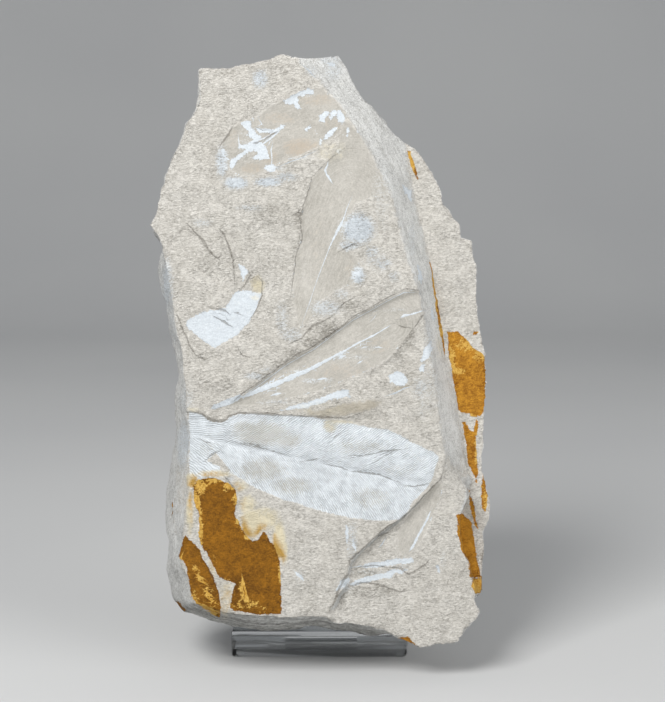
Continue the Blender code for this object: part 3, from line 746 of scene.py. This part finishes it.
def flakes(places, size, layers, seed):
    """Terraces of thin flakes, in steps of one layer."""
    level = (bumps(places, size, seed) + 0.5 * bumps(places, size / 2.4, seed + 7.3)) * layers
    whole = np.floor(level)
    return whole + smooth((level - whole) / 0.28)


# Heights and depths in millimetres.
FLAKE_STEP = 0.26
LEAF_SWELL = 0.75
RIB_DEPTH = 0.45
PRINT_DEPTH = 0.22
RIBBED_RISE = 0.3
CRACK_DEPTH = 0.15

relief = roughness * (
    FLAKE_STEP * flakes(points, 11.0, 3.2, 4.1)
    + 0.08 * flakes(points, 4.2, 1.8, 9.7)
    + 0.22 * bumps(points * (0.75, 1.0, 1.0), 2.0, 2.9)
    + 0.20 * bumps(points * (0.8, 1.0, 1.0), 1.2, 6.2)
)
relief += (1.0 - wall) * 0.10 * bumps(points, 6.0, 1.3)

rib_gap, rib_side, rib_along = nearest(spots, WHITE_LEAF_RIB)
rib_gap *= PIXEL
blade = LEAF_SWELL * smooth(white_leaf / 7.0) * smooth(rib_gap / 5.0)
blade += 0.16 * bumps(points * (0.4, 1.0, 1.0), 5.0, 3.3) - RIB_DEPTH * np.exp(-(rib_gap / 0.9)**2)
relief += blade * (white_leaf > 0) - PRINT_DEPTH * smooth(prints / 2.0) * (prints > 0)
gap, _, _ = nearest(spots, RIBBED_PRINT_RIB[:, :2])
relief += RIBBED_RISE * np.exp(-(gap * PIXEL)**2) * on_face

dark_side, dark_half = thin_lines(spots, CRACK_AND_SHADOW_LINES)
relief -= CRACK_DEPTH * np.exp(-(dark_side / 0.5)**2) * smooth(dark_half / 0.4) * on_face

# The walls and the back show the layers as ribs and small shelves.
sheets = points @ np.stack((face_up * 0.05, (0.05, 0, 0), face_out), axis=1)
relief += wall * (1.0 - seen * flank) * (
    0.75 * bumps(sheets, 2.3, 5.5) + 0.45 * bumps(sheets, 1.0, 8.8) + 0.4 * bumps(points, 7.0, 3.7)
)
print("relief from", round(float(relief.min()), 2), "to", round(float(relief.max()), 2), "mm")

# %% Move the points
wander = np.stack([bumps(points, 3.4, seed) for seed in (21.0, 22.7, 24.1)], axis=1)
wander -= (wander * facing).sum(axis=1)[:, None] * facing
on_print = smooth(np.maximum(white_leaf, prints) / 1.5)
points += facing * relief[:, None] + wander * (0.3 * (1.0 - on_print))[:, None]
points = np.clip(points, cad_low, cad_high)
print("sideways", round(float(np.abs(wander).max() * 0.3), 2), "mm at most")

# %% [markdown]
# The slab only rests on its stand, so its relief may not reach into it. Where it comes too close it
# is held back by a hair.

# %% Keep clear of the stand
STAND_HALF_WIDTH = 39.5
STAND_HALF_DEPTH = 35.0
LEDGE_TOP = 11.8
LEDGE_DEPTH = 13.4
REST_LEAN = math.radians(10.0)
REST_TOP = 108.0
HAIR = 0.25
# How far past the ledge, and past the sides and top of the rest, points are held back.
PAST_LEDGE, PAST_SIDE, PAST_TOP = 3.0, 5.0, 8.0

x, y, z = points.T
low = (np.abs(x) < STAND_HALF_WIDTH + PAST_LEDGE) & (y > -STAND_HALF_DEPTH - PAST_LEDGE)
low &= z < LEDGE_TOP + HAIR
z = np.where(low, LEDGE_TOP + HAIR, z)
rest_y = LEDGE_DEPTH - STAND_HALF_DEPTH + (z - LEDGE_TOP) * math.tan(REST_LEAN) - HAIR
behind = (np.abs(x) < STAND_HALF_WIDTH + PAST_SIDE) & (z < REST_TOP + PAST_TOP) & (y > rest_y)
y = np.where(behind, rest_y, y)
print("held off the stand:", int(low.sum()), "points below and", int(behind.sum()), "behind")
points = np.stack((x, y, z), axis=1)
slab.data.vertices.foreach_set("co", (points * MM).ravel())
slab.data.update()

# %% [markdown]
# ## Numbers that the shader reads
#
# Each measure is stored on the mesh as an attribute, one number for each point, and blended between
# the points, so an edge is finer than the mesh itself. The veins of the big leaf need two numbers:
# how far along the rib a point lies and how far from it.

# %% Store the measures
RIB_BEND = 24.0
THIN_FILM = trace("""
262,434,34,15,1 288,440,18,10,.8 243,428,14,9,.8 262,470,30,14,.75 292,486,26,11,.7
370,498,24,13,.55 360,447,32,10,.5 206,446,12,14,.3 330,425,8,9,1.3 400,470,26,10,.3
""")

rib_along = rib_along * PIXEL
rib_run = np.where(rib_along < RIB_BEND, RIB_BEND - (RIB_BEND - rib_along) * 0.4, rib_along)
measures = dict(
    white_leaf=white_leaf, white_scraps=white_scraps, haze=blots(spots, HAZE) * seen,
    thin_film=blots(spots, THIN_FILM), rib_run=rib_run, rib_gap=rib_gap * rib_side,
    prints=prints, print_across=print_across, print_along=print_along,
    brown_print=blots(spots, BROWN_IN_PRINTS), tan_bands=tan_bands, rust=rust,
    thin_rust=blots(spots, THIN_RUST) * seen, halo=blots(spots, HALO) * seen,
    flank=bared, layer=layer, under=under, broken=roughness, shadow_and_grit=blots(spots, SHADOW_AND_GRIT_BLOTS) * seen,
    dark_side=dark_side, dark_half=dark_half * on_face,
)
for name, lines in (("white", WHITE_LINES), ("rust", RUST_LINES), ("streak", RUST_STREAKS)):
    side, half = thin_lines(spots, lines)
    measures.update({name + "_side": side, name + "_half": half * seen})
for name, numbers in measures.items():
    attribute = slab.data.attributes.new(name, "FLOAT", "POINT")
    attribute.data.foreach_set("value", np.asarray(numbers, np.float32))
print("stored:", ", ".join(measures))

# %% [markdown]
# ## A small language for shaders
#
# A finish is a network of nodes. Written one by one the nodes hide the idea, so a small class lets
# a number of the shader be added and multiplied as in ordinary maths, and adds the Math nodes.
# Every other node comes from one method that sets its options and its sockets.

# %% Shader numbers
class Number:
    """A number worked out all over a surface."""

    def __init__(self, finish, socket):
        self.finish, self.socket = finish, socket

    def __add__(self, other):
        return self.finish.math("ADD", self, other)

    def __sub__(self, other):
        return self.finish.math("SUBTRACT", self, other)

    def __rsub__(self, other):
        return self.finish.math("SUBTRACT", other, self)

    def __mul__(self, other):
        return self.finish.math("MULTIPLY", self, other)

    def __truediv__(self, other):
        return self.finish.math("DIVIDE", self, other)

    def __abs__(self):
        return self.finish.math("ABSOLUTE", self)

    __radd__ = __add__


class Finish:
    """A material, built up node by node."""

    def __init__(self, name):
        self.material = bpy.data.materials.new(name)
        self.material.use_nodes = True
        self.tree = self.material.node_tree
        self.tree.nodes.clear()

    def add(self, kind, settings=None, sockets=None, out=0):
        """Adds a node with its settings and sockets, and gives an output."""
        node = self.tree.nodes.new("ShaderNode" + kind)
        for name, value in (settings or {}).items():
            setattr(node, name, value)
        for name, value in (sockets or {}).items():
            if isinstance(value, Number):
                self.tree.links.new(value.socket, node.inputs[name])
            else:
                node.inputs[name].default_value = value
        return Number(self, node.outputs[out]) if node.outputs else None

    def math(self, operation, *values):
        return self.add("Math", {"operation": operation}, dict(enumerate(values)))

    def point(self, x, y, z):
        """A place put together from three numbers."""
        return self.add("CombineXYZ", sockets={"X": x, "Y": y, "Z": z})

    def known(self, name):
        """A number that is stored on the mesh."""
        return self.add("Attribute", {"attribute_name": name}, out="Fac")

    def step(self, value, low, high):
        """A soft step from 0 below low to 1 above high."""
        sockets = {"Value": value, "From Min": low, "From Max": high}
        return self.add("MapRange", {"interpolation_type": "SMOOTHSTEP"}, sockets)

    def grain(self, place, size, detail=2.0, rough=0.5):
        """Noise between about -0.5 and 0.5, its grains that size in the units of the place."""
        sockets = {"Vector": place, "Scale": 1.0 / size, "Detail": detail, "Roughness": rough}
        return (self.add("TexNoise", {}, sockets) - 0.5) * 3.0

    def mix(self, part, colour, other):
        """The first colour where part is 0, the other where it is 1; a swatch is painted."""
        here, there = (paint(*c) if isinstance(c, tuple) else c for c in (colour, other))
        settings = {"data_type": "RGBA", "clamp_factor": True}
        return self.add("Mix", settings, {0: part, 6: here, 7: there}, out=2)

    def principled(self, sockets):
        shader = self.add("BsdfPrincipled", {}, sockets)
        self.add("OutputMaterial", {"target": "ALL"}, {"Surface": shader})


def paint(red, green, blue):
    """A colour read off a swatch, 0 to 255, as the linear numbers that a shader takes."""
    parts = [value / 255 for value in (red, green, blue)]
    return (*[p / 12.92 if p < 0.04045 else ((p + 0.055) / 1.055)**2.4 for p in parts], 1.0)

# %% [markdown]
# ## The stone
#
# Split siltstone is a matt beige grey. Rough parts look mottled because each flake catches the
# light its own way and its edge holds a thin shadow. Here the mottle is painted as tone that varies
# at random, and the thin shadow at flake edges, in pits and along dark strokes is painted shade.
# The patterns are laid out in millimetres on the slab's own plane: across, into the stone, and up.

# %% Bare stone
stone = Finish("pale siltstone")
known, grain, step, mix = stone.known, stone.grain, stone.step, stone.mix
flat_place = stone.add("Mapping", {"vector_type": "POINT"}, {
    "Vector": stone.add("TexCoord", out="Object"), "Rotation": (SLAB_LEAN, 0.0, 0.0),
    "Scale": (1 / MM, 1 / MM, 1 / MM),
})
bedding_place = stone.add("Mapping", {"vector_type": "TEXTURE"}, {
    "Vector": flat_place, "Rotation": (0.0, math.radians(-9), 0.0), "Scale": (2.4, 1.0, 1.0),
})
broken = known("broken")
across_place = stone.add("SeparateXYZ", sockets={"Vector": flat_place}, out="X")
up_place = stone.add("SeparateXYZ", sockets={"Vector": flat_place}, out="Z")

fine = grain(flat_place, 0.65, 4.0, 0.7)
speckle = grain(flat_place, 2.2, 3.0, 0.6)
streaky = grain(bedding_place, 0.62, 3.0, 0.6)
strokes = 1.0 - step(abs(grain(bedding_place, 1.0, 2.0)), 0.0, 0.16)
cloud = grain(flat_place, 18.0, 3.0)
# Painted shadow below the ledges, where the stone is also rougher.
shadow_and_grit = known("shadow_and_grit")
patches = grain(flat_place, 5.5, 2.0)
grit = step(patches * 0.6 + cloud * 0.5 + shadow_and_grit, -0.9, 0.9) * 0.8 + 0.5
flake_part = stone.math("FRACT", grain(bedding_place, 3.4, 5.0, 0.6) * 2.4)
flake_rise = step(flake_part, 0.0, 0.3)
# The low side of each flake's step, which gets painted shade.
flake_edge = (1.0 - flake_rise) * step(patches + fine * 0.4, -0.3, 0.3)

mottle = 0.31 - (fine * 0.38 + streaky * (broken * 0.6 + 0.1)) * grit - speckle * broken * 0.16
# Darker where the painted ledge shadow lies.
mottle = mottle - cloud * 0.25 + shadow_and_grit * 0.25
colour = mix(mottle, (230, 226, 218), (166, 161, 151))
pits = step(fine + streaky * 1.2 - patches * 0.3, 0.6, 1.1)
# Painted shade at the flake edges, in the pits and along the dark strokes.
painted_crevice_shade = broken * (flake_edge * 0.3 + pits * 0.3 + strokes * 0.36) * (0.7 + shadow_and_grit * 0.7)
colour = mix(painted_crevice_shade, colour, (124, 118, 107))
stone_height = broken * grit * (
    fine * 0.16 + streaky * 0.24 - strokes * 0.1 + speckle * 0.12 + flake_rise * 0.22
    - flake_part * 0.16 - pits * 0.12
) + fine * 0.03
print("bare stone:", len(stone.tree.nodes), "nodes")

# %% Edges of the thin layers, on the flank and the walls
layer_place = stone.point(known("layer"), across_place * 0.05, up_place * 0.05)
bared_layers = step(known("flank") + speckle * 0.5 + fine * 0.2, 0.2, 0.8)
fine_layers = grain(layer_place, 0.4, 3.0, 0.6)
wide_layers = grain(layer_place, 1.7, 2.0)
layer_shade = 0.34 - fine_layers * 0.45 - wide_layers * 0.25 - fine - speckle * 0.35
flank_colour = mix(layer_shade, (232, 232, 229), (176, 175, 170))
colour = mix(bared_layers * 0.9, colour, flank_colour)
stone_height = stone_height + bared_layers * (fine_layers * 0.16 + wide_layers * 0.16 + fine * 0.1)
# Painted shade on the underside, which faces away from the lamps; the layers still show in it.
painted_underside_shade = known("under") * (0.42 - wide_layers * 0.4 - speckle * 0.3)
colour = mix(painted_underside_shade, colour, (96, 94, 90))

# %% [markdown]
# ## The prints and bands
#
# A print is where the leaf lay: smooth, slightly darker, and without flakes. Faint streaks run the
# way of the leaf, and it is browner where some of the leaf's carbon is left.

# %% Prints
print_place = stone.point(known("print_across"), known("print_along") * 0.16, 0.0)
print_streaks = grain(print_place, 0.7, 3.0, 0.6)
prints_depth = known("prints")
print_part = step(prints_depth + fine * 0.4 + speckle, -0.5, 0.7)
print_shade = 0.5 - fine * 0.55 - cloud * 0.4 - speckle * 0.3 - print_streaks * 0.45
print_colour = mix(print_shade, (196, 192, 184), (160, 156, 147))
brown_part = step(known("brown_print") + speckle * 0.5 + print_streaks * 0.5, 0.2, 1.3)
print_colour = mix(brown_part * 0.75, print_colour, (178, 164, 146))
colour = mix(print_part * 0.92, colour, print_colour)
edge_flecks = step(prints_depth, -0.7, 0.0) * (1.0 - step(prints_depth, 0.1, 0.9))
flecks = step(fine * 0.8 + speckle + patches * 0.4 + edge_flecks * 0.4, 0.75, 0.95)
flecks = flecks * step(prints_depth, -0.8, 0.0)
band_part = step(known("tan_bands") + speckle * 1.2 + streaky * 0.8, -0.4, 1.2)
colour = mix(band_part * 0.6, colour, (176, 166, 146))

# %% [markdown]
# ## The white clay film
#
# The film is a cool white. On the big leaf it is thin, so the stone shows through in the middle of
# each half, and the veins arch out of the rib towards the tip, about a millimetre apart.

# %% Veins of the white leaf
VEIN_PITCH = 1.12

rib_gap_here = known("rib_gap")
from_rib = abs(rib_gap_here)
vein_run = known("rib_run") - from_rib * 1.3 + from_rib * from_rib * 0.012
vein_wander = grain(flat_place, 6.0) * 0.8 + grain(flat_place, 1.8) * 0.32
vein_wave = stone.math("SINE", (vein_run / VEIN_PITCH + vein_wander) * (2 * math.pi))
vein_show = step(patches + speckle * 0.5, -0.6, 0.6) * 0.5 + 0.5
vein_groove = step(vein_wave + fine + speckle * 0.6, -0.2, 0.9) * vein_show

# %% White leaf
film_place = stone.point(vein_run * 1.1, from_rib * 0.35, rib_gap_here * 0.01)
streaks = grain(film_place, 1.0, 3.0, 0.6)
on_rib = (1.0 - step(from_rib + fine * 0.5 + speckle * 0.6, 0.2, 1.4)) * 0.4
leaf_part = step(known("white_leaf") + fine * 0.6 + speckle * 0.5, -0.2, 0.4)
worn = known("thin_film") * 1.1 + streaks * 0.3 + fine * 0.5 + speckle * 0.12
worn = step(worn + vein_wave * 0.2, 0.1, 1.1) * (1.0 - on_rib)
film_white = mix(0.36 - streaks * 0.5 - fine * 0.5, (238, 243, 246), (198, 204, 208))
film_white = mix(on_rib, film_white, (232, 237, 241))
film_white = mix(vein_groove * (0.56 - on_rib * 0.6), film_white, (156, 160, 162))
leaf_colour = mix(worn * (0.6 + vein_groove * 0.4), film_white, (182, 179, 169))
colour = mix(leaf_part, colour, leaf_colour)

# %% Scraps, lines and haze of white clay
def line_gap(name, widen, wobble=0.0):
    """How far inside a thin line a point lies, in millimetres, and less than 0 beside it."""
    return known(name + "_half") * widen - abs(known(name + "_side") + wobble)


torn = fine * 0.7 + speckle * 0.8
scraps_depth = known("white_scraps")
scrap_part = step(scraps_depth + torn, -0.08, 0.12)
crumbs = step(torn + scraps_depth * 0.3, 0.40, 0.55) * step(scraps_depth, -2.0, -0.2)
white_gap = line_gap("white", 1.0 + speckle * 0.7 + patches * 0.4, fine * 0.18)
white_line = step(white_gap, -0.12, 0.10)
haze_here = known("haze")
haze_part = haze_here * step(haze_here * 0.8 + fine * 1.3 + streaky * 0.9, 0.1, 0.7)
clay_part = haze_part * 0.9
for part in (scrap_part, crumbs, white_line, flecks * 0.8):
    clay_part = stone.math("MAXIMUM", clay_part, part)
clay_shade = 0.34 - fine * 0.5 - streaky * 0.4
clay_colour = mix(clay_shade, (221, 227, 231), (184, 190, 195))
colour = mix(clay_part, colour, clay_colour)

# %% [markdown]
# ## Rust
#
# Thick rust is brown and darker where it is dense; thin rust is orange-yellow, in flecks.

# %% Iron stains
halo_part = step(known("halo") + speckle * 0.3 + fine * 0.2, 0.05, 1.0)
halo_near = step(known("rust") + speckle * 0.8, -4.5, -0.2)
halo_colour = mix(halo_part * (0.1 + halo_near * 1.1), (230, 221, 192), (188, 144, 44))
colour = mix(halo_part * 0.9, colour, halo_colour)
rust_gap = line_gap("rust", 1.0 + speckle)
rust_depth = known("rust") + fine * 0.45 + speckle * 0.55
rust_part = stone.math("MAXIMUM", step(rust_depth, -0.1, 0.2), step(rust_gap, -0.1, 0.1))
right_side = step(across_place, 30.0, 50.0)
rust_shade = 0.5 - fine * 0.6 - cloud * 0.45 - speckle * 0.4 - patches * 0.35 - streaky * 0.45
brown = mix(rust_shade, (156, 104, 22), (96, 60, 6))
brown_right = mix(rust_shade, (202, 144, 46), (128, 78, 12))
rust_colour = mix(right_side, brown, brown_right)
rim = (1.0 - step(known("rust"), 0.2, 2.2)) * 0.35
streak_gap = line_gap("streak", 1.0 + speckle, fine * 0.35)
thin_spots = known("thin_rust") + rim + speckle * 0.6 + streaky * 0.5 + fine * 0.4
thin_streaks = step(streak_gap, -0.12, 0.12)
thin_part = stone.math("MAXIMUM", step(thin_spots, 0.55, 0.95), thin_streaks)
thin_colour = mix(0.55 - fine * 0.9 - speckle * 0.5, (230, 192, 104), (184, 130, 34))
rust_colour = mix(thin_part * 0.9, rust_colour, thin_colour)
colour = mix(rust_part, colour, rust_colour)

# %% Cracks and painted ledge shadows, and all of it together
# Cracks, creases and painted shadow below the ledges, darkened into the colour.
dark_gap = line_gap("dark", 1.0 + speckle + patches * 0.8, fine * 0.4 + speckle * 0.35)
crack_and_shadow_part = step(dark_gap, -0.14, 0.16)
colour = mix(crack_and_shadow_part * 0.5, colour, (104, 97, 86))
smooth_film = 1.0 - stone.math("MAXIMUM", leaf_part, print_part) * 0.6
height = (
    stone_height * smooth_film
    + leaf_part * (vein_wave * vein_show * 0.15 + streaks * 0.12 + fine * 0.07)
    + clay_part * 0.08 + print_part * print_streaks * 0.05
    - crack_and_shadow_part * 0.22 - rust_part * 0.04 + thin_part * rust_part * 0.05
)
relief_normal = stone.add("Bump", sockets={"Strength": 1.0, "Distance": MM, "Height": height})
stone.principled({
    "Base Color": colour, "Roughness": 0.9 - rust_part * 0.18 - leaf_part * 0.08,
    "Specular IOR Level": 0.2, "Normal": relief_normal,
})
slab.data.materials.clear()
slab.data.materials.append(stone.material)
print("stone finish:", len(stone.tree.nodes), "nodes")

# %% Shade the slab smoothly
bpy.ops.object.shade_smooth_by_angle(angle=math.radians(55))
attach(slab, "root")
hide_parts("rock_slab")
print("slab:", len(slab.data.polygons), "smooth triangles")

# %% [markdown]
# ## The clear stand
#
# Bent acrylic sheet is as clear as glass, and its sawn edges are rounded by the polishing flame, so
# they catch the light as thin bright lines. A bevel does the same here.

# %% Round the edges of the stand
EDGE_ROUNDING = 0.8

stand = own_copy("clear_stand", "display_stand")
bpy.ops.mesh.dissolve_limited(angle_limit=math.radians(1))
bpy.ops.object.mode_set(mode="OBJECT")
rounding = stand.modifiers.new("flame polish", "BEVEL")
rounding.width, rounding.segments = EDGE_ROUNDING * MM, 3
rounding.limit_method, rounding.angle_limit = "ANGLE", math.radians(40)
bpy.ops.object.modifier_apply(modifier=rounding.name)
bpy.ops.object.shade_smooth_by_angle(angle=math.radians(35))
print("stand:", len(stand.data.polygons), "faces")

# %% Clear acrylic
acrylic = Finish("clear acrylic")
acrylic_place = acrylic.add("TexCoord", out="Object")
handling = acrylic.grain(acrylic_place, 14 * MM, 3.0)
acrylic.principled({
    "Base Color": (0.96, 0.975, 0.985, 1.0), "Transmission Weight": 1.0, "IOR": 1.49,
    "Roughness": acrylic.step(handling, 0.0, 0.5) * 0.05 + 0.01,
})
stand.data.materials.clear()
stand.data.materials.append(acrylic.material)
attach(stand, "root")
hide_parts("display_stand")
print("stand finish:", acrylic.material.name)

# %% [markdown]
# ## Floor and light
#
# A plain pale sheet runs under the stand and up behind it. A large soft lamp, high on the left,
# gives each flake a faint shadow below it, and a weaker one fills in from the right.

# %% Floor and backdrop
bpy.ops.mesh.primitive_plane_add(size=1, location=(0, 0, 0))
floor = bpy.context.object
floor.name = "floor"
bpy.ops.object.mode_set(mode="EDIT")
bpy.ops.transform.resize(value=(6.0, 3.0, 1.0))
bpy.ops.mesh.select_mode(type="EDGE")
bpy.ops.mesh.select_all(action="DESELECT")
shape = bmesh.from_edit_mesh(floor.data)
for edge in shape.edges:
    edge.select_set(all(vert.co.y > 1.0 for vert in edge.verts))
bmesh.update_edit_mesh(floor.data)
bpy.ops.mesh.extrude_region_move(TRANSFORM_OT_translate={"value": (0, 0.6, 2.4)})
bpy.ops.object.mode_set(mode="OBJECT")
bevel = floor.modifiers.new("curve", "BEVEL")
bevel.width, bevel.segments = 0.5, 12
bpy.ops.object.modifier_apply(modifier=bevel.name)
bpy.ops.object.shade_smooth()
card = Finish("pale card")
card_place = card.add("TexCoord", out="Object")
card_colour = card.mix(0.5 + card.grain(card_place, 0.4), (214, 214, 212), (208, 208, 207))
card.principled({"Base Color": card_colour, "Roughness": 0.9})
floor.data.materials.append(card.material)
print("floor:", len(floor.data.polygons), "faces")

# %% Lamps
def lamp(name, place, aim, size, power):
    """A square soft lamp at a place, pointing at another."""
    place, aim = Vector(place), Vector(aim)
    turn = (place - aim).to_track_quat("Z", "Y").to_euler()
    bpy.ops.object.light_add(type="AREA", location=place, rotation=turn)
    light = bpy.context.object
    light.name = name
    light.data.size, light.data.energy = size, power


middle = SLAB_MIDDLE * MM
lamp("key lamp", (-0.44, -0.66, 0.92), middle, 0.5, 10.2)
lamp("fill lamp", (0.85, -0.60, 0.42), middle, 0.7, 5.2)
world = bpy.data.worlds.new("soft room")
world.use_nodes = True
sky = world.node_tree.nodes["Background"].inputs
sky["Color"].default_value = (0.92, 0.95, 1.0, 1.0)
sky["Strength"].default_value = 0.32
bpy.context.scene.world = world
bpy.context.scene.view_settings.view_transform = "Standard"
print("lamps:", len(bpy.data.lights))
